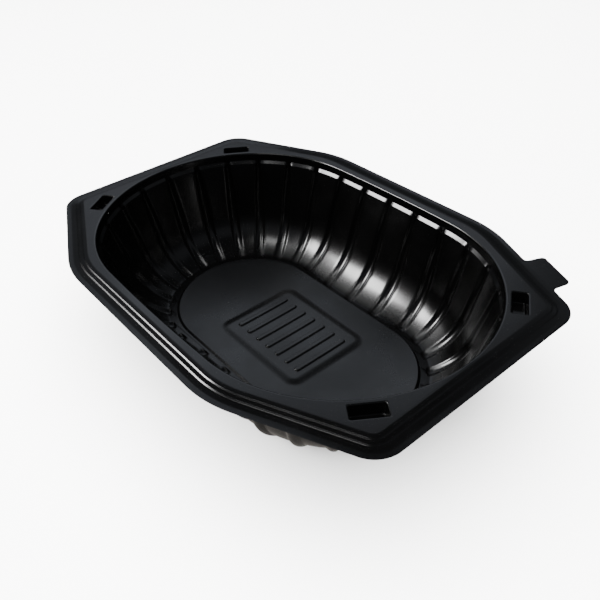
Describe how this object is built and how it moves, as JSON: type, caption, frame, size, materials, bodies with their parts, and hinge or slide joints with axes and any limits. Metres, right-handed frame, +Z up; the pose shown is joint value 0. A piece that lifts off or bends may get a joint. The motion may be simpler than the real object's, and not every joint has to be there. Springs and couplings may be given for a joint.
{
  "type": "roast chicken container tray",
  "caption": "Black thermoformed tray: octagonal stepped rim with a lifting tab, rim pockets for a lid, deep oval bowl with grooved walls and a ribbed floor.",
  "frame": {"origin": "under the middle of the tray, on the surface it stands on", "axes": "+X along the tray, towards the end nearer the lifting tab; +Y across it, towards the side with the tab; +Z up, out of the bowl's mouth"},
  "size_m": [0.26, 0.1848, 0.061],
  "materials": {
    "tray": "glossy black formed sheet"
  },
  "bodies": {
    "root": {"tray": "tray"}
  },
  "joints": []
}
